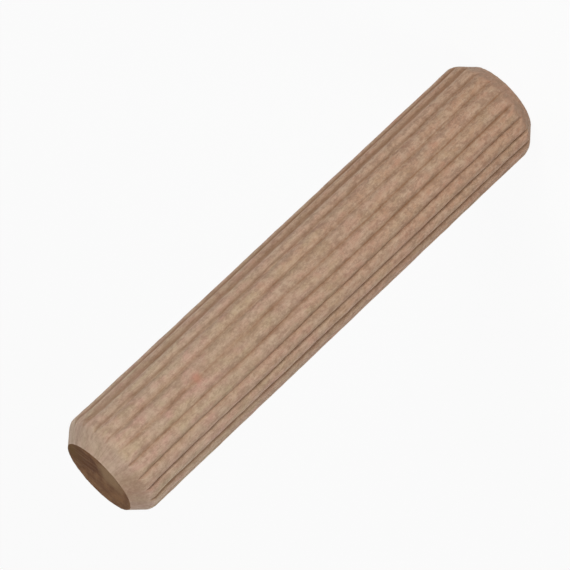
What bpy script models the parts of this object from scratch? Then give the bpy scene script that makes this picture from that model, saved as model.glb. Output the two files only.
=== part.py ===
"""Fluted wooden dowel pin, nominal 8 x 40 mm, standing on one end.

A length of fluted beech rod whose two ends are turned to a rounded chamfer, so
the glue flutes run out on the chamfers. Metres, +Z along the pin, with the
origin at the middle of the bottom end face.
"""
import math

import bpy
import bmesh

# Driving dimensions, in metres
PIN_LENGTH = 0.0400
PIN_DIAMETER = 0.0081          # over the ridges' crests, slightly proud of an 8 mm bore
END_FACE_DIAMETER = 0.0060
CHAMFER_LENGTH = 0.00125       # along the axis, before the shoulder is rounded
SHOULDER_RADIUS = 0.0010       # rounds the corner between chamfer and side

FLUTE_COUNT = 21
FLUTE_DEPTH = 0.00033          # from the ridges' crests to the sharp flute roots

# How finely the curved stretches are drawn
RIDGE_STEPS = 8
SHOULDER_STEPS = 5
TURNED_STEPS_PER_FLUTE = 4

# The blank is longer and the turned blank wider than the finished pin, so that
# no face of one lies on a face of the other
BLANK_OVERRUN = 0.0010
TURNED_OVERSIZE = 0.00003

WELD_DISTANCE = 0.000002
SMOOTH_ANGLE = math.radians(28)

BEECH_COLOUR = (0.40, 0.27, 0.18, 1.0)
BEECH_ROUGHNESS = 0.65


def clear_scene():
    for old in list(bpy.data.objects):
        bpy.data.objects.remove(old, do_unlink=True)


def new_collection(name):
    collection = bpy.data.collections.new(name)
    bpy.context.scene.collection.children.link(collection)
    return collection


def beech():
    material = bpy.data.materials.new("beech")
    material.use_nodes = True
    shader = material.node_tree.nodes["Principled BSDF"]
    shader.inputs["Base Color"].default_value = BEECH_COLOUR
    shader.inputs["Roughness"].default_value = BEECH_ROUGHNESS
    shader.inputs["Metallic"].default_value = 0.0
    return material


def flute_section():
    """Points of the rod's section, anticlockwise: one rounded ridge after another, with a sharp flute between.

    Each ridge is the arc that runs from root to root over its crest on the outer circle.
    """
    outer = PIN_DIAMETER / 2
    root = outer - FLUTE_DEPTH
    pitch = 2 * math.pi / FLUTE_COUNT
    half_width = root * math.sin(pitch / 2)
    height = outer - root * math.cos(pitch / 2)
    ridge_radius = (half_width ** 2 + height ** 2) / (2 * height)
    ridge_centre = outer - ridge_radius
    half_sweep = math.atan2(half_width, root * math.cos(pitch / 2) - ridge_centre)

    points = []
    for number in range(FLUTE_COUNT):
        crest = (number + 0.5) * pitch
        for step in range(RIDGE_STEPS):
            sweep = half_sweep * (2 * step / RIDGE_STEPS - 1)
            points.append((ridge_centre * math.cos(crest) + ridge_radius * math.cos(crest + sweep),
                           ridge_centre * math.sin(crest) + ridge_radius * math.sin(crest + sweep)))
    return points


def fluted_rod(material, collection):
    """The blank: the fluted section drawn along the pin, running past both ends."""
    curve = bpy.data.curves.new("fluted_rod", "CURVE")
    curve.dimensions = "2D"
    curve.fill_mode = "BOTH"
    curve.extrude = PIN_LENGTH / 2 + BLANK_OVERRUN
    outline = flute_section()
    spline = curve.splines.new("POLY")
    spline.points.add(len(outline) - 1)
    for point, (x, y) in zip(spline.points, outline):
        point.co = (x, y, 0.0, 1.0)
    spline.use_cyclic_u = True

    drawn = bpy.data.objects.new("fluted_rod", curve)
    drawn.location.z = PIN_LENGTH / 2
    collection.objects.link(drawn)
    bpy.context.view_layer.update()

    mesh = bpy.data.meshes.new_from_object(drawn.evaluated_get(bpy.context.evaluated_depsgraph_get()))
    shell = bmesh.new()
    shell.from_mesh(mesh)
    bmesh.ops.remove_doubles(shell, verts=shell.verts, dist=WELD_DISTANCE)
    shell.to_mesh(mesh)
    shell.free()
    mesh.materials.clear()
    mesh.materials.append(material)

    rod = bpy.data.objects.new("dowel_pin", mesh)
    rod.matrix_world = drawn.matrix_world
    bpy.data.objects.remove(drawn, do_unlink=True)
    collection.objects.link(rod)
    return rod


def turned_profile():
    """Half outline of the turned pin, running down its outer side from the top's middle to the bottom's."""
    face = END_FACE_DIAMETER / 2
    side = PIN_DIAMETER / 2 + TURNED_OVERSIZE
    slope = math.atan2(side - face, CHAMFER_LENGTH)
    tangent = SHOULDER_RADIUS * math.tan(slope / 2)
    shoulder_centre = CHAMFER_LENGTH + tangent

    quarter = [(0.0, 0.0), (face, 0.0)]
    for step in range(SHOULDER_STEPS + 1):
        angle = slope * (1 - step / SHOULDER_STEPS)
        quarter.append((side - SHOULDER_RADIUS * (1 - math.cos(angle)),
                        shoulder_centre - SHOULDER_RADIUS * math.sin(angle)))
    top = [(radius, PIN_LENGTH - height) for radius, height in quarter]
    return top + quarter[::-1]


def turned_envelope(collection):
    """The shape the lathe leaves: both chamfers, both shoulders and the two flat ends."""
    profile = turned_profile()
    mesh = bpy.data.meshes.new("turned_envelope")
    mesh.from_pydata([(radius, 0.0, height) for radius, height in profile],
                     [(index, index + 1) for index in range(len(profile) - 1)], [])
    envelope = bpy.data.objects.new("turned_envelope", mesh)
    collection.objects.link(envelope)

    steps = FLUTE_COUNT * TURNED_STEPS_PER_FLUTE
    screw = envelope.modifiers.new("turn", "SCREW")
    screw.axis = "Z"
    screw.angle = 2 * math.pi
    screw.steps = steps
    screw.render_steps = steps
    screw.use_merge_vertices = True
    screw.merge_threshold = WELD_DISTANCE
    envelope.rotation_euler.z = math.pi / steps   # half a facet, so its corners miss the roots and crests
    envelope.hide_render = True
    envelope.display_type = "WIRE"
    return envelope


def main():
    clear_scene()
    parts = new_collection("dowel")
    cutters = new_collection("cutters")

    pin = fluted_rod(beech(), parts)
    turn_ends = pin.modifiers.new("turn_ends", "BOOLEAN")
    turn_ends.operation = "INTERSECT"
    turn_ends.solver = "EXACT"
    turn_ends.object = turned_envelope(cutters)

    pin.data.shade_smooth()
    pin.data.set_sharp_from_angle(angle=SMOOTH_ANGLE)


main()
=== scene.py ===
# Fluted beech dowel pin: the cut and pressed surface, and its wood
import math

import bmesh
import bpy
from mathutils import Matrix, Vector


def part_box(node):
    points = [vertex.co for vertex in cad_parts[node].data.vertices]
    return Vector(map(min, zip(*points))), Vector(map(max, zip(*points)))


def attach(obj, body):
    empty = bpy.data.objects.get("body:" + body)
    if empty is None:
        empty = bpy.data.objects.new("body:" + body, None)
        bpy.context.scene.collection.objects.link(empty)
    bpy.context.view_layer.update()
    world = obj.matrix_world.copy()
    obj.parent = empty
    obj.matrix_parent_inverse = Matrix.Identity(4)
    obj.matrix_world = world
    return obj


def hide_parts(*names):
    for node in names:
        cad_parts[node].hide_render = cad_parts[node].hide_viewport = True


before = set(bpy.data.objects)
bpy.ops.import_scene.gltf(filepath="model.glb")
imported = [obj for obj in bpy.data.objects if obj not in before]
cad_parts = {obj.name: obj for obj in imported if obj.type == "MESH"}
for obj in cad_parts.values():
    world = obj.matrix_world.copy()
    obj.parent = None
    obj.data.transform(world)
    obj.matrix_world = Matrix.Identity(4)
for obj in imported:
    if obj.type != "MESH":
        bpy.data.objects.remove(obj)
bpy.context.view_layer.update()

pinLow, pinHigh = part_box("dowel_pin")
pinMiddle = Vector((0, 0, (pinLow.z + pinHigh.z) / 2))
tiny = 1e-7     # metres, within which two heights are the same


# Selecting and shaping, shared by the stages below

def clearSelection():
    bpy.ops.object.select_all(action="DESELECT")


def makeActive(thing):
    clearSelection()
    thing.select_set(True)
    bpy.context.view_layer.objects.active = thing


def pick(thing, kind, test):
    # in edit mode, selects the vertices, edges or faces that pass the test
    mesh = bmesh.from_edit_mesh(thing.data)
    for group in (mesh.verts, mesh.edges, mesh.faces):
        for item in group:
            item.select = False
    for item in getattr(mesh, kind):
        if test(item):
            item.select_set(True)
    mesh.select_flush_mode()
    bmesh.update_edit_mesh(thing.data)


def applyAll(thing):
    makeActive(thing)
    for modifier in list(thing.modifiers):
        bpy.ops.object.modifier_apply(modifier=modifier.name)


# The pin's own sizes, the same as the solid's

pin = {
    "length": pinHigh.z - pinLow.z,
    "radius": 0.00405,                # over the ridges' crests
    "faceRadius": 0.0030,             # the flat end
    "chamferLength": 0.00125,         # along the axis, to the unrounded corner
    "shoulderRadius": 0.0010,
    "edgeRadius": 0.00006,            # the sawn end's edge is barely broken
    "edgeRings": ((0.25, 0.2), (-0.6, 0.0)),      # in edge radii, out from the face's rim and over the end
    "fluteCount": 21,
    "fluteDepth": 0.00033,
    "columnsPerFlute": 16,
    "bodyCuts": 78,                   # rings along half the body
    "shoulderSteps": 9,
    "chamferSteps": 9,
    "faceSpan": 84,                   # quads across the flat end
    "faceSkin": 0.00001,              # what lies nearer to an end than this belongs to its flat face
    "faceTilt": 0.9,                  # how much along the pin a normal points where the grain is cut across
    "sharpAngle": math.radians(40),   # edges sharper than this aren't shaded smooth
}

flutePitch = 2 * math.pi / pin["fluteCount"]
halfColumns = pin["columnsPerFlute"] // 2


def fluteRadius(column):
    # the section's radius at one of the columns of a flute: column 0 is the sharp root, and
    # the ridges between the roots are arcs over a crest on the outer circle
    root = pin["radius"] - pin["fluteDepth"]
    halfWidth = root * math.sin(flutePitch / 2)
    height = pin["radius"] - root * math.cos(flutePitch / 2)
    ridgeRadius = (halfWidth ** 2 + height ** 2) / (2 * height)
    ridgeCentre = pin["radius"] - ridgeRadius
    fromCrest = flutePitch / 2 - abs(column) * flutePitch / pin["columnsPerFlute"]
    return (ridgeCentre * math.cos(fromCrest)
            + math.sqrt(ridgeRadius ** 2 - (ridgeCentre * math.sin(fromCrest)) ** 2))


def turnedOutline():
    # radius and height over the end face, from the side down to the face, as the lathe leaves the end
    slope = math.atan2(pin["radius"] - pin["faceRadius"], pin["chamferLength"])
    centre = pin["chamferLength"] + pin["shoulderRadius"] * math.tan(slope / 2)
    outline = []
    for step in range(pin["shoulderSteps"] + 1):
        angle = slope * step / pin["shoulderSteps"]
        outline.append((pin["radius"] - pin["shoulderRadius"] * (1 - math.cos(angle)),
                        centre - pin["shoulderRadius"] * math.sin(angle)))
    coneRadius, coneHeight = outline[-1]
    edge = pin["edgeRadius"]
    lastRadius = pin["faceRadius"] + edge * math.sin(slope)
    lastHeight = edge * math.cos(slope)
    for step in range(1, pin["chamferSteps"] + 1):
        share = step / pin["chamferSteps"]
        outline.append((coneRadius + (lastRadius - coneRadius) * share,
                        coneHeight + (lastHeight - coneHeight) * share))
    for outwards, over in pin["edgeRings"]:
        outline.append((pin["faceRadius"] + edge * outwards, edge * over))
    return outline


def columnOf(vertex):
    # which column of its flute a vertex is in, from minus half a flute to plus half
    turn = math.atan2(vertex.co.y, vertex.co.x) / flutePitch
    column = round((turn - math.floor(turn)) * pin["columnsPerFlute"])
    return (column + halfColumns) % pin["columnsPerFlute"] - halfColumns


def makePin():
    columns = range(-halfColumns, halfColumns)
    halfLength = pin["length"] / 2
    outline = turnedOutline()

    # one ring at mid length, its columns pushed in to the fluted section
    clearSelection()
    bpy.ops.mesh.primitive_circle_add(vertices=pin["fluteCount"] * pin["columnsPerFlute"],
                                      radius=pin["radius"], fill_type="NOTHING", location=pinMiddle)
    dowel = bpy.context.object
    dowel.name = "beechDowel"
    bpy.ops.object.mode_set(mode="EDIT")
    bpy.ops.mesh.select_mode(type="VERT")
    radii = {column: pin["radius"] for column in columns}
    for column in columns:
        wanted = fluteRadius(column)
        if wanted < radii[column]:
            pick(dowel, "verts", lambda v: columnOf(v) == column)
            squeeze = wanted / radii[column]
            bpy.ops.transform.resize(value=(squeeze, squeeze, 1), center_override=pinMiddle)
            radii[column] = wanted

    # drawn out to the shoulder and cut into short stretches; heights are from the middle here
    bodyTop = halfLength - outline[0][1]
    pick(dowel, "verts", lambda v: True)
    bpy.ops.mesh.extrude_region_move(TRANSFORM_OT_translate={"value": (0, 0, bodyTop)})
    bpy.ops.mesh.select_mode(type="EDGE")
    pick(dowel, "edges", lambda e: abs(e.verts[0].co.z - e.verts[1].co.z) > bodyTop / 2)
    bpy.ops.mesh.subdivide(number_cuts=pin["bodyCuts"])
    bpy.ops.mesh.select_mode(type="VERT")

    # the end turned down ring by ring, so the flutes run out where the chamfer reaches their floor
    height = bodyTop
    for radius, over in outline[1:]:
        rise = halfLength - over - height
        pick(dowel, "verts", lambda v: abs(v.co.z - height) < tiny)
        bpy.ops.mesh.extrude_region_move(TRANSFORM_OT_translate={"value": (0, 0, rise)})
        height = halfLength - over
        proud = {round(radii[column], 9) for column in columns if radii[column] > radius}
        for old in sorted(proud):
            same = {column for column in columns if abs(radii[column] - old) < tiny / 10}
            pick(dowel, "verts", lambda v: abs(v.co.z - height) < tiny and columnOf(v) in same)
            squeeze = radius / old
            bpy.ops.transform.resize(value=(squeeze, squeeze, 1), center_override=pinMiddle)
            for column in same:
                radii[column] = radius

    # the flat end
    bpy.ops.mesh.select_mode(type="EDGE")
    pick(dowel, "edges", lambda e: all(abs(v.co.z - halfLength) < tiny for v in e.verts))
    bpy.ops.mesh.fill_grid(span=pin["faceSpan"])
    bpy.ops.object.mode_set(mode="OBJECT")

    # the lower half mirrors the upper one
    mirror = dowel.modifiers.new("otherHalf", "MIRROR")
    mirror.use_axis = (False, False, True)
    mirror.use_mirror_merge = True
    mirror.merge_threshold = tiny * 10
    applyAll(dowel)
    bpy.ops.object.mode_set(mode="EDIT")
    bpy.ops.mesh.select_all(action="SELECT")
    bpy.ops.mesh.normals_make_consistent(inside=False)
    bpy.ops.object.mode_set(mode="OBJECT")
    makeActive(dowel)
    bpy.ops.object.transform_apply(location=True, rotation=True, scale=True)
    print("pin modelled:", len(dowel.data.vertices), "vertices")
    return dowel


# Wood relief: what pressing, cutting and sawing leave in the surface

relief = {
    # strength is the whole range in metres, and middle says how much of it lies below the surface;
    # size is that of the features, and a work without one is even all over
    "wander": {
        "size": (0.0022, 0.0022, 0.0050), "strength": 0.00020, "middle": 0.5,
        "along": "X", "group": "roots"},
    "sway": {
        "size": (0.0022, 0.0022, 0.0056), "strength": 0.00020, "middle": 0.5,
        "along": "Y", "group": "roots"},
    "shallows": {
        "size": (0.0010, 0.0010, 0.0018), "strength": 0.00022, "middle": 0.5,
        "along": "NORMAL", "group": "floors"},
    "deepSide": {
        "size": None, "strength": -0.00010, "middle": 0.0,
        "along": "NORMAL", "group": "deep"},
    "fibres": {
        "size": (0.00026, 0.00026, 0.0011), "strength": 0.00006, "middle": 0.5,
        "along": "NORMAL", "group": "side"},
    "fuzz": {
        "size": (0.00034, 0.00034, 0.0005), "strength": 0.00004, "middle": 1.0,
        "along": "NORMAL", "group": "turned"},
    "topSawing": {
        "size": (0.0022, 0.00030, 0.001), "strength": 0.00005, "middle": 1.0,
        "along": "Z", "group": "topFace"},
    "lowSawing": {
        "size": (0.0022, 0.00030, 0.001), "strength": -0.00005, "middle": 1.0,
        "along": "Z", "group": "lowFace"},
}

pressing = {
    # a span says where something begins and where it is full
    "weakTurn": math.radians(-50),    # the flutes on this side, about the pin, are pressed less deep
    "weakSpan": (3 / 13, 1.0),        # cosines of the turn away from it
    "weakFloor": 0.00020,             # how deep they still are
    "weakRaise": 0.00022,             # the most that a root there is raised
    "faintShare": 0.45,               # how much shallower again they are where the turn is 0
    "deepTurn": math.radians(-168),   # and these are cut deeper and narrower
    "deepSpan": (0.75, 1.0),
    "evenShare": 0.30,                # how uneven the deep flutes' floors are, beside the weak ones
    "runOutSpan": (0.0026, 0.0014),   # from the end, where the flutes get shallower
    "runOutRaise": 0.00010,
    "lowRunOut": 0.35,                # how much of that the bottom end has, beside the top one
    "bodySpan": (0.2, 1.2),           # in chamfer lengths from the end, where turned wood becomes the side
    "rootSpan": (1 / 12, 11 / 12),    # in flute depths: how far down the roots wander
    "floorSpan": (0.375, 1.0),        # the floors are uneven
    "slitSpan": (0.6, 1.0),           # and the deeper cut sets in
}


def ramp(value, start, end):
    # 0 before start, 1 past end, straight between
    return min(1.0, max(0.0, (value - start) / (end - start)))


def outlineRadius(over):
    # the turned outline's radius at a height over the nearer end
    outline = turnedOutline()
    if over >= outline[0][1]:
        return pin["radius"]
    for (outer, high), (inner, low) in zip(outline, outline[1:]):
        if over >= low:
            return inner + (outer - inner) * (over - low) / (high - low)
    return pin["faceRadius"]


def groupPlaces(dowel):
    # vertex groups for the pressed side, the flutes' floors, the turned ends and the sawn faces,
    # and an attribute that is 0 on a crest and 1 in a root, which the painted shade in the roots follows
    groupNames = ("side", "roots", "floors", "raised", "deep", "turned", "topFace", "lowFace")
    groups = {name: dowel.vertex_groups.new(name=name) for name in groupNames}
    outlines = {}
    inFlute = [0.0] * len(dowel.data.vertices)
    for vertex in dowel.data.vertices:
        x, y, z = vertex.co
        onTop = z > pinMiddle.z
        over = min(z - pinLow.z, pinHigh.z - z)
        if over < pin["faceSkin"]:
            groups["topFace" if onTop else "lowFace"].add([vertex.index], 1.0, "REPLACE")
            continue
        key = round(over, 7)
        if key not in outlines:
            outlines[key] = outlineRadius(over)
        radius = math.hypot(x, y)
        below = outlines[key] - radius
        depths = below / pin["fluteDepth"]
        inFlute[vertex.index] = depths

        turn = math.atan2(y, x)
        weak = ramp(math.cos(turn - pressing["weakTurn"]), *pressing["weakSpan"])
        deep = ramp(math.cos(turn - pressing["deepTurn"]), *pressing["deepSpan"])
        uneven = pressing["evenShare"] + (1 - pressing["evenShare"]) * weak
        onBody = ramp(over / pin["chamferLength"], *pressing["bodySpan"])

        # a weak flute's floor is raised to the depth it keeps, and any flute's towards the ends
        faint = 1 - pressing["faintShare"] * max(0.0, math.cos(turn)) ** 2
        excess = max(0.0, below - pressing["weakFloor"] * faint)
        toEnd = ramp(over, *pressing["runOutSpan"]) * (1.0 if onTop else pressing["lowRunOut"])
        raised = min(pressing["weakRaise"], excess) * weak + pressing["runOutRaise"] * toEnd
        raised = min(max(0.0, below), raised)
        weights = {
            "side": onBody,
            "turned": 1.0 - onBody,
            "roots": ramp(depths, *pressing["rootSpan"]),
            "floors": ramp(depths, *pressing["floorSpan"]) * uneven,
            "deep": ramp(depths, *pressing["slitSpan"]) * deep,
            "raised": raised / (pin["radius"] - radius) if raised > 0 else 0.0,
        }
        for name, weight in weights.items():
            groups[name].add([vertex.index], weight, "REPLACE")
    dowel.data.attributes.new("inFlute", "FLOAT", "POINT").data.foreach_set("value", inFlute)


def roughen(dowel):
    groupPlaces(dowel)

    # shallow flutes go straight outwards, towards the pin's radius, so no flank folds over
    shallow = dowel.modifiers.new("shallow", "CAST")
    shallow.cast_type = "CYLINDER"
    shallow.use_radius_as_size = False
    shallow.size = pin["radius"]
    shallow.factor = 1.0
    shallow.vertex_group = "raised"
    applyAll(dowel)

    guide = bpy.data.objects.new("grainGuide", None)
    bpy.context.scene.collection.objects.link(guide)
    for name, work in relief.items():
        displace = dowel.modifiers.new(name, "DISPLACE")
        displace.direction = work["along"]
        displace.strength = work["strength"]
        displace.mid_level = work["middle"]
        displace.vertex_group = work["group"]
        if work["size"]:
            guide.scale = work["size"]
            displace.texture = bpy.data.textures.new(name, "CLOUDS")
            displace.texture.noise_scale = 1.0
            displace.texture.noise_depth = 4
            displace.texture_coords = "OBJECT"
            displace.texture_coords_object = guide
        bpy.context.view_layer.update()
        applyAll(dowel)
    bpy.data.objects.remove(guide)
    dowel.vertex_groups.clear()
    print("relief laid on")


# Shader maths as plain sums

class Wire:
    # a socket that can be added, multiplied and divided like a number

    def __init__(self, board, socket):
        self.board = board
        self.socket = socket

    def __add__(self, other):
        return self.board.work("ADD", self, other)

    def __radd__(self, other):
        return self.board.work("ADD", other, self)

    def __sub__(self, other):
        return self.board.work("SUBTRACT", self, other)

    def __rsub__(self, other):
        return self.board.work("SUBTRACT", other, self)

    def __mul__(self, other):
        return self.board.work("MULTIPLY", self, other)

    def __rmul__(self, other):
        return self.board.work("MULTIPLY", other, self)

    def __truediv__(self, other):
        return self.board.work("DIVIDE", self, other)

    def __rtruediv__(self, other):
        return self.board.work("DIVIDE", other, self)

    def __abs__(self):
        return self.board.work("ABSOLUTE", self)


class Board:
    # the node tree of a material or of the world

    def __init__(self, owner):
        owner.use_nodes = True
        self.nodes = owner.node_tree.nodes
        self.links = owner.node_tree.links

    def add(self, kind, settings=None, values=None, output=0):
        node = self.nodes.new(kind)
        for name, value in (settings or {}).items():
            setattr(node, name, value)
        self.fill(node, values or {})
        return Wire(self, node.outputs[output])

    def fill(self, node, values):
        for name, value in values.items():
            if isinstance(value, Wire):
                self.links.new(value.socket, node.inputs[name])
            else:
                node.inputs[name].default_value = value

    def outputs(self, wire, names):
        # several outputs of the node that a wire comes from
        return [Wire(self, wire.socket.node.outputs[name]) for name in names]

    def work(self, operation, first, second=0.0):
        return self.add("ShaderNodeMath", {"operation": operation}, {0: first, 1: second})

    def rise(self, value, start, end):
        # 0 before start, 1 past end, smooth between
        return self.add("ShaderNodeMapRange", {"interpolation_type": "SMOOTHSTEP"},
                        {"Value": value, "From Min": start, "From Max": end, "To Min": 0.0, "To Max": 1.0})

    def blend(self, share, first, second):
        return self.add("ShaderNodeMix", {"data_type": "RGBA"}, {0: share, 6: first, 7: second}, output=2)

    def place(self, size, turn=0.0, centre=(0, 0, 0), start=None):
        # object coordinates, or others, counted in features of the given size and turned about the pin's axis
        start = start or self.add("ShaderNodeTexCoord", output="Object")
        return self.add("ShaderNodeMapping", {"vector_type": "TEXTURE"},
                        {"Vector": start, "Location": centre, "Rotation": (0, 0, turn), "Scale": size})

    def noise(self, size, detail=2.0, roughness=0.5, turn=0.0, centre=(0, 0, 0), start=None):
        return self.add("ShaderNodeTexNoise", {"noise_dimensions": "3D"},
                        {"Vector": self.place(size, turn, centre, start), "Scale": 1.0,
                         "Detail": detail, "Roughness": roughness})

    def spot(self, centre, size):
        # 1 at a centre in object coordinates, falling to 0 at an ellipsoid of the given half sizes
        return self.add("ShaderNodeTexGradient", {"gradient_type": "QUADRATIC_SPHERE"},
                        {"Vector": self.place(size, centre=centre)})

    def axes(self, vector):
        return self.outputs(self.add("ShaderNodeSeparateXYZ", None, {"Vector": vector}), ("X", "Y", "Z"))


# The tree's own figure, which runs through the side and the ends alike

figure = {
    "turn": math.radians(14),            # of the rays, which run out from the pith, near the camera's line
    "pith": (0.004, -0.024, 0.0),        # far outside the pin, so its rings are shallow arcs
    "ringWidth": 0.0019,
    "ringWaver": 0.0012,
    "waver": {"size": (0.0035, 0.0035, 0.0110), "detail": 2},
    "rays": {"size": (0.00007, 0.0010, 0.00045), "detail": 1},
    "raySpan": (0.60, 0.70),             # from where in the noise a ray begins to where it is full
    "pores": {"size": (0.00006, 0.00006, 0.00070), "detail": 1},
    "poreSpan": (0.62, 0.74),
}


def ringWood(board):
    # how far through a year's growth the wood is, from 0 to 1, and the ray and pore masks
    x, y = board.axes(board.place((1, 1, 1), centre=figure["pith"]))[:2]
    waver = board.noise(**figure["waver"]) * figure["ringWaver"]
    fromPith = board.work("SQRT", x * x + y * y) + waver
    year = board.work("FRACT", fromPith / figure["ringWidth"])
    rays = board.rise(board.noise(turn=figure["turn"], **figure["rays"]), *figure["raySpan"])
    pores = board.rise(board.noise(**figure["pores"]), *figure["poreSpan"])
    return year, rays, pores


# Beech along the grain: the fluted side and the turned chamfers

sideWood = {
    "tan": (0.424, 0.297, 0.206, 1),
    "pink": (0.480, 0.282, 0.214, 1),
    "straw": (0.424, 0.326, 0.188, 1),
    "pale": (0.582, 0.434, 0.314, 1),
    "late": (0.355, 0.226, 0.148, 1),
    "fleck": (0.235, 0.132, 0.080, 1),
    # painted shade: the colour laid over the flutes' flanks towards their floors
    "valleyShade": (0.354, 0.216, 0.132, 1),
    # painted shade: the dark colour laid into the flutes' roots
    "root": (0.225, 0.108, 0.046, 1),
    "turned": (0.500, 0.364, 0.276, 1),
    # the darker tone of the streaks on the turned cone
    "turnedDarkStreak": (0.318, 0.226, 0.162, 1),
    "turnedBrown": (0.316, 0.198, 0.128, 1),      # the chamfer round the deep flutes
    "ruddy": (0.458, 0.248, 0.150, 1),            # the wood towards the bottom end
    "redMark": (0.540, 0.185, 0.125, 1),
    "markPlace": (0.00033, -0.00403, 0.0313),     # a small red fleck in the wood, on the camera's side
    "markSize": (0.00060, 0.00060, 0.00070),
    "paleTurn": math.radians(-45),                # one ridge is paler than its neighbours
    "roughness": 0.62,
    "specular": 0.3,
    "bump": 0.35,
    "bumpDepth": 0.00006,

    # noises, each with the size of its features in metres
    "patches": {"size": (0.0009, 0.0009, 0.0012), "detail": 2},
    "straws": {"size": (0.0011, 0.0011, 0.0024), "detail": 2, "centre": (0.01, 0, 0)},
    "grain": {"size": (0.00046, 0.00046, 0.00066), "detail": 3, "roughness": 0.88},
    "mottle": {
        "size": (0.00038, 0.00038, 0.00046), "detail": 3, "roughness": 0.88, "centre": (0, 0.01, 0)},
    "fibres": {
        "size": (0.00020, 0.00020, 0.0022), "detail": 2, "roughness": 0.6, "centre": (0, 0, 0.01)},
    "tears": {"size": (0.00060, 0.00060, 0.00070), "detail": 2, "centre": (0.01, 0.01, 0)},
    "streaks": {"size": (0.11, 0.11, 0.5), "detail": 3, "roughness": 0.6},      # round the turned cone
    "streakRise": 60.0,                                                         # per metre of its height

    # where each mask begins and where it is full
    "spans": {
        "deepSide": (0.4, 0.8),           # cosines of the turn away from the deep side
        # painted shade in the roots: how dark and how wide it lies on the deep side
        "deepest": (0.75, 1.0),
        "deepShadeReach": (0.85, 0.97),
        "brownCone": (0.30, 0.72),
        "tornCone": (0.30, 0.66),
        # painted shade in the roots: how dark and how wide it lies on the faint side, and low down between
        # the sides
        "faintSide": (0.3, 1.0),          # cosines of the turn itself, which is 0 at the faintest flutes
        "faintEdge": (0.86, 0.96),
        "faintShadeReach": (0.60, 0.70),
        "between": (0.25, 0.0),           # the front and the back, between the faint side and the deep one
        "paleRidge": (0.985, 1.0),        # cosines of the turn away from the pale ridge
        "bottom": (0.036, 0.006),         # heights on the pin
        "top": (0.006, 0.036),
        "cone": (1.2, 0.7),               # in chamfer lengths from the nearer end
        # painted shade on the flanks
        "valleyShade": (0.15, 0.65),           # in flute depths
        # painted shade in the roots, in flute depths
        "root": (0.52, 0.96),
        # painted shade line at the very bottom of the faint flutes
        "slitShade": (0.80, 0.98),
        "slitShadeBreak": (0.36, 0.60),         # and the rest are in the noises' own range
        "coneTear": (0.42, 0.60),
        "pink": (0.32, 0.68),
        "straw": (0.40, 0.68),
        "late": (0.55, 1.0),
        "streak": (0.38, 0.58),
        "mottle": (0.34, 0.70),
        "paleFibre": (0.50, 0.72),
        "darkFibre": (0.50, 0.30),
        "fleck": (0.58, 0.34),
    },

    # how much of its colour each mask lays on, and how that changes from place to place
    "shares": {
        "straw": 0.65,
        "late": 0.30,
        "ruddy": 0.40,
        "ruddyOnPink": 0.36,
        "brownCone": 0.95,
        "brownBottom": 0.6,
        "cone": 0.30,
        "coneAtTop": 0.38,
        "paleRidge": 0.22,
        # painted shade on the flanks, less of it on the deep side
        "valleyShade": 0.68,
        "valleyShadeLessOnDeep": 0.32,
        "mottle": 0.47,
        "mottleLessOnCone": 0.19,
        "paleFibre": 0.32,
        "darkFibre": 0.18,
        "fleck": 0.43,
        "fleckLessOnCone": 0.25,
        "fleckAtBottom": 0.14,
        "ray": 0.25,
        "coneTear": 0.20,
        # painted shade in the roots: how dark it is at least, and how much darker on the deep side, the faint
        # side, its edge, low down and between
        "root": 0.18,
        "deepestRootShade": 0.42,
        "faintSideRootShade": 0.31,
        "faintEdgeRootShade": 0.22,
        "bottomRootShade": 0.12,
        "lowBetweenRootShade": 0.25,
        # painted shade line at the very bottom of the faint flutes
        "slitShade": 0.34,
        "redMark": 0.9,
        "deepShadeReach": 0.25,                # how much further up the flanks the painted shade in the roots reaches
        "faintShadeReach": 0.44,
        "poreDepth": 0.5,                 # in the bump, beside the grain
        "streakHeight": 0.5,
    },
}


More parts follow.
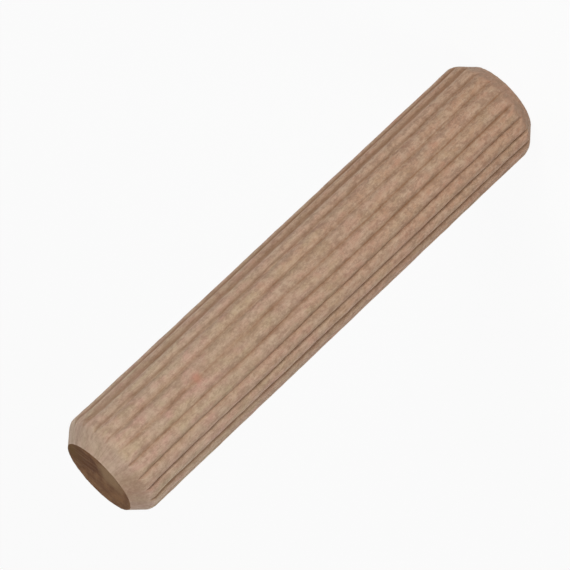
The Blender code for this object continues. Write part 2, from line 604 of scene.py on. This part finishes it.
def sideBeech():
    material = bpy.data.materials.new("beechAlongGrain")
    board = Board(material)
    spans = sideWood["spans"]
    shares = sideWood["shares"]
    x, y, z = board.axes(board.add("ShaderNodeTexCoord", output="Object"))
    radius = board.work("SQRT", x * x + y * y)

    def mask(value, name):
        return board.rise(value, *spans[name])

    def towards(turn):
        # 1 where the side faces this turn about the pin, falling off as its cosine
        return (x * math.cos(turn) + y * math.sin(turn)) / radius

    # how far the surface lies below the turned outline, which is the depth in a flute
    over = pin["length"] / 2 - abs(z - pin["length"] / 2)
    slope = (pin["radius"] - pin["faceRadius"]) / pin["chamferLength"]
    outside = board.work("MINIMUM", over * slope + pin["faceRadius"], pin["radius"])
    depth = (outside - radius) / pin["fluteDepth"]
    inFlute = board.add("ShaderNodeAttribute", {"attribute_name": "inFlute"}, output="Fac")

    # the parts of the pin
    facing = towards(pressing["deepTurn"])
    across = x / radius
    onDeep = mask(facing, "deepSide")
    toBottom = mask(z, "bottom")
    onTurned = mask(over / pin["chamferLength"], "cone")
    lowBetween = toBottom * mask(across, "between") * (1 - onDeep)

    # painted shade on the flutes' flanks and in their roots, which isn't equally dark or wide all round
    paintedValleyShade = mask(depth, "valleyShade") * (shares["valleyShade"] - onDeep * shares["valleyShadeLessOnDeep"])
    rootShadeReach = mask(facing, "deepShadeReach") * shares["deepShadeReach"]
    rootShadeReach = rootShadeReach + mask(across, "faintShadeReach") * shares["faintShadeReach"]
    # painted shade in the roots, darker on the deep and faint sides and low down
    rootShadeShare = shares["root"] + mask(facing, "deepest") * shares["deepestRootShade"]
    rootShadeShare = rootShadeShare + mask(across, "faintSide") * shares["faintSideRootShade"]
    rootShadeShare = rootShadeShare + mask(across, "faintEdge") * shares["faintEdgeRootShade"]
    rootShadeShare = rootShadeShare + toBottom * shares["bottomRootShade"] + lowBetween * shares["lowBetweenRootShade"]
    paintedRootShade = mask(inFlute + rootShadeReach, "root") * rootShadeShare
    # a thin painted shade line at the bottom of the faint flutes, broken up where the tears noise is low
    tears = board.noise(**sideWood["tears"])
    paintedSlitShade = mask(inFlute, "slitShade") * mask(tears, "slitShadeBreak") * (1 - onDeep) * shares["slitShade"]

    # noises, with streaks that run up the turned cone, where the cutter crossed the grain
    year, rays, pores = ringWood(board)
    isPink = mask(board.noise(**sideWood["patches"]), "pink")
    straws = board.noise(**sideWood["straws"])
    grain = board.noise(**sideWood["grain"])
    mottle = board.noise(**sideWood["mottle"])
    fibres = board.noise(**sideWood["fibres"])
    around = board.add("ShaderNodeCombineXYZ", None,
                       {"X": across, "Y": y / radius, "Z": z * sideWood["streakRise"]})
    streaks = board.noise(start=around, **sideWood["streaks"])

    # the wood's own zones
    colour = board.blend(isPink, sideWood["tan"], sideWood["pink"])
    colour = board.blend(mask(straws, "straw") * shares["straw"], colour, sideWood["straw"])
    colour = board.blend(mask(year, "late") * shares["late"], colour, sideWood["late"])
    ruddy = toBottom * (shares["ruddy"] + isPink * shares["ruddyOnPink"])
    colour = board.blend(ruddy, colour, sideWood["ruddy"])

    # the turned cone, greyer where it is streaked and browner round the deep flutes and at the bottom
    cone = board.blend(mask(streaks, "streak"), sideWood["turnedDarkStreak"], sideWood["turned"])
    cone = board.blend(mask(facing, "brownCone") * shares["brownCone"], cone, sideWood["turnedBrown"])
    cone = board.blend(toBottom * shares["brownBottom"], cone, sideWood["turnedBrown"])
    coneShare = shares["cone"] + mask(z, "top") * shares["coneAtTop"]
    colour = board.blend(onTurned * coneShare, colour, cone)

    # the pale ridge, the painted shade on the flanks, and the grain over them
    paleRidge = mask(towards(sideWood["paleTurn"]), "paleRidge") * shares["paleRidge"]
    colour = board.blend(paleRidge, colour, sideWood["pale"])
    colour = board.blend(paintedValleyShade, colour, sideWood["valleyShade"])
    mottled = mask(mottle, "mottle") * (shares["mottle"] - onTurned * shares["mottleLessOnCone"])
    colour = board.blend(mottled, colour, sideWood["pale"])
    colour = board.blend(mask(fibres, "paleFibre") * shares["paleFibre"], colour, sideWood["pale"])
    colour = board.blend(mask(fibres, "darkFibre") * shares["darkFibre"], colour, sideWood["fleck"])
    fleckShare = shares["fleck"] - onTurned * shares["fleckLessOnCone"] + toBottom * shares["fleckAtBottom"]
    colour = board.blend(mask(grain, "fleck") * fleckShare, colour, sideWood["fleck"])
    colour = board.blend(rays * shares["ray"], colour, sideWood["fleck"])
    torn = mask(tears, "coneTear") * onTurned * mask(facing, "tornCone") * shares["coneTear"]
    colour = board.blend(torn, colour, sideWood["fleck"])

    # the painted shade in the roots, its thin line in the faint flutes, and the mark last
    colour = board.blend(paintedRootShade, colour, sideWood["root"])
    colour = board.blend(paintedSlitShade, colour, sideWood["root"])
    redMark = board.spot(sideWood["markPlace"], sideWood["markSize"]) * shares["redMark"]
    colour = board.blend(redMark, colour, sideWood["redMark"])

    height = grain - pores * shares["poreDepth"] + streaks * onTurned * shares["streakHeight"]
    bump = board.add("ShaderNodeBump", None,
                     {"Strength": sideWood["bump"], "Distance": sideWood["bumpDepth"], "Height": height})
    board.fill(board.nodes["Principled BSDF"],
               {"Base Color": colour, "Normal": bump, "Roughness": sideWood["roughness"],
                "Metallic": 0.0, "Specular IOR Level": sideWood["specular"]})
    return material


# Beech across the grain: the sawn end faces

endWood = {
    "early": (0.288, 0.150, 0.073, 1),
    "late": (0.190, 0.092, 0.046, 1),
    "ray": (0.330, 0.195, 0.105, 1),
    "olive": (0.412, 0.270, 0.152, 1),
    "dark": (0.120, 0.048, 0.022, 1),
    "pore": (0.090, 0.042, 0.022, 1),
    "tip": (0.160, 0.083, 0.031, 1),
    "palePlace": (-0.0006, -0.0020, 0.0),         # a paler patch towards the camera's side
    "paleSize": (0.0026, 0.0033, 1.0),
    "darkPlace": (0.0016, -0.0006, 0.0),          # a darker one beside it
    "darkSize": (0.0029, 0.0036, 1.0),
    "tipPlace": (0.0027, 0.0004, 0.0),            # and an olive brown tip
    "tipSize": (0.0020, 0.0030, 1.0),
    "raggedness": 0.8,                            # of the patches' edges
    "clouds": {"size": (0.0008, 0.0017, 0.004), "detail": 3, "turn": figure["turn"]},
    "saw": {"size": (0.0030, 0.00034, 0.001), "detail": 2, "turn": math.radians(38)},
    "roughness": 0.8,
    "specular": 0.1,
    "bump": 0.4,
    "bumpDepth": 0.00005,
    "spans": {
        "dark": (0.12, 0.45), "olive": (0.15, 0.55), "early": (0.38, 0.62), "late": (0.30, 1.0),
        "saw": (0.45, 0.70)},
    "shares": {
        "late": 0.35, "dark": 0.9, "tip": 1.4, "olive": 0.66, "ray": 0.30, "saw": 0.35, "pore": 0.7,
        "poreDepth": 0.5},
}


def endBeech():
    material = bpy.data.materials.new("beechEndGrain")
    board = Board(material)
    shares = endWood["shares"]

    def mask(value, name):
        return board.rise(value, *endWood["spans"][name])

    year, rays, pores = ringWood(board)
    clouds = board.noise(**endWood["clouds"])
    saw = board.noise(**endWood["saw"])
    ragged = (clouds - 0.5) * endWood["raggedness"]      # 0.5 is the noise's middle
    isDark = mask(board.spot(endWood["darkPlace"], endWood["darkSize"]) - ragged, "dark")
    isOlive = mask(board.spot(endWood["palePlace"], endWood["paleSize"]) + ragged, "olive")
    atTip = board.spot(endWood["tipPlace"], endWood["tipSize"])

    colour = board.blend(mask(clouds, "early"), endWood["late"], endWood["early"])
    colour = board.blend(mask(year, "late") * shares["late"], colour, endWood["late"])
    colour = board.blend(isDark * shares["dark"], colour, endWood["dark"])
    colour = board.blend(atTip * shares["tip"], colour, endWood["tip"])
    colour = board.blend(isOlive * shares["olive"], colour, endWood["olive"])
    colour = board.blend(rays * shares["ray"], colour, endWood["ray"])
    colour = board.blend(mask(saw, "saw") * shares["saw"], colour, endWood["ray"])
    colour = board.blend(pores * shares["pore"], colour, endWood["pore"])

    bump = board.add("ShaderNodeBump", None,
                     {"Strength": endWood["bump"], "Distance": endWood["bumpDepth"],
                      "Height": saw - pores * shares["poreDepth"]})
    board.fill(board.nodes["Principled BSDF"],
               {"Base Color": colour, "Normal": bump, "Roughness": endWood["roughness"],
                "Metallic": 0.0, "Specular IOR Level": endWood["specular"]})
    return material


def finishPin(dowel):
    # long grain everywhere, end grain on the two flat faces
    dowel.data.materials.clear()
    dowel.data.materials.append(sideBeech())
    dowel.data.materials.append(endBeech())
    for face in dowel.data.polygons:
        if abs(face.normal.z) > pin["faceTilt"]:
            face.material_index = 1
    makeActive(dowel)
    bpy.ops.object.shade_smooth_by_angle(angle=pin["sharpAngle"])
    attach(dowel, "root")
    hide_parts("dowel_pin")
    print("pin finished")


# The photograph's view: the pin's top end leans towards the camera and points to the lower left

view = {
    "elevation": math.radians(17.66),
    "roll": math.radians(226.75),
    "distance": 0.2937,
    "lens": 268.3,
    "sensor": 36.0,
    "clipStart": 0.01,
    "clipEnd": 10.0,
    "aside": 0.001268,      # the pin sits this far right of the picture's middle
    "above": 0.000034,
}


def makeCamera():
    back = Vector((0, -math.cos(view["elevation"]), math.sin(view["elevation"])))
    uprightUp = Vector((0, math.sin(view["elevation"]), math.cos(view["elevation"])))
    sideways = Vector((1, 0, 0))
    right = math.cos(view["roll"]) * sideways + math.sin(view["roll"]) * uprightUp
    up = math.cos(view["roll"]) * uprightUp - math.sin(view["roll"]) * sideways
    place = pinMiddle + back * view["distance"] - right * view["aside"] - up * view["above"]
    clearSelection()
    bpy.ops.object.camera_add(location=place)
    camera = bpy.context.object
    camera.rotation_euler = Matrix((right, up, back)).transposed().to_euler()
    camera.data.lens = view["lens"]
    camera.data.sensor_width = view["sensor"]
    camera.data.clip_start = view["clipStart"]
    camera.data.clip_end = view["clipEnd"]
    bpy.context.scene.camera = camera
    print("camera placed")


# Soft studio light on a white floor

studio = {
    "worldLight": 0.16,
    "floorSize": 4.0,
    "floorWhite": 0.9,
    "shadowShare": 0.07,     # how much of the floor's own shading the camera sees
    "lamps": {
        # turn is round the pin, 0 from the camera's side and plus towards the picture's lower right
        "key": {"turn": -21, "rise": 24, "away": 0.45, "size": 0.18, "power": 1.01},
        "fill": {"turn": 37, "rise": 20, "away": 0.45, "size": 0.24, "power": 0.605},
        "backLeft": {"turn": -125, "rise": 6, "away": 0.45, "size": 0.24, "power": 0.50},
        "backRight": {"turn": 125, "rise": 6, "away": 0.45, "size": 0.24, "power": 0.60},
    },
}


def toTheEye(board):
    # 1 on the rays that show the background, straight, in a gloss or through glass
    path = board.add("ShaderNodeLightPath")
    straight, gloss, through = board.outputs(path, ("Is Camera Ray", "Is Glossy Ray", "Is Transmission Ray"))
    return board.work("MAXIMUM", board.work("MAXIMUM", straight, gloss), through)


def makeFloor():
    clearSelection()
    bpy.ops.mesh.primitive_plane_add(size=studio["floorSize"], location=(0, 0, pinLow.z))
    floor = bpy.context.object
    floor.name = "floor"
    material = bpy.data.materials.new("whiteFloor")
    board = Board(material)
    board.nodes.remove(board.nodes["Principled BSDF"])
    paint = board.add("ShaderNodeBsdfDiffuse", None, {"Color": (studio["floorWhite"],) * 3 + (1,)})
    white = board.add("ShaderNodeEmission", None, {"Strength": 1.0})
    share = toTheEye(board) * (1 - studio["shadowShare"])
    mix = board.add("ShaderNodeMixShader", None, {0: share, 1: paint, 2: white})
    board.fill(board.nodes["Material Output"], {"Surface": mix})
    floor.data.materials.append(material)
    print("floor laid")


def makeWorld():
    world = bpy.data.worlds.new("studio")
    bpy.context.scene.world = world
    board = Board(world)
    strength = toTheEye(board) * (1 - studio["worldLight"]) + studio["worldLight"]
    board.fill(board.nodes["Background"], {"Color": (1, 1, 1, 1), "Strength": strength})
    print("world lit")


def makeLamps():
    for name, lamp in studio["lamps"].items():
        turn = math.radians(lamp["turn"])
        rise = math.radians(lamp["rise"])
        towards = Vector((-math.sin(turn) * math.cos(rise), -math.cos(turn) * math.cos(rise), math.sin(rise)))
        clearSelection()
        bpy.ops.object.light_add(type="AREA", location=pinMiddle + towards * lamp["away"])
        light = bpy.context.object
        light.name = name
        light.rotation_euler = towards.to_track_quat("Z", "Y").to_euler()
        light.data.shape = "DISK"
        light.data.size = lamp["size"]
        light.data.energy = lamp["power"]
    print("lamps placed")


makeCamera()
dowel = makePin()
roughen(dowel)
finishPin(dowel)
makeFloor()
makeWorld()
makeLamps()
bpy.context.scene.view_settings.view_transform = "Standard"
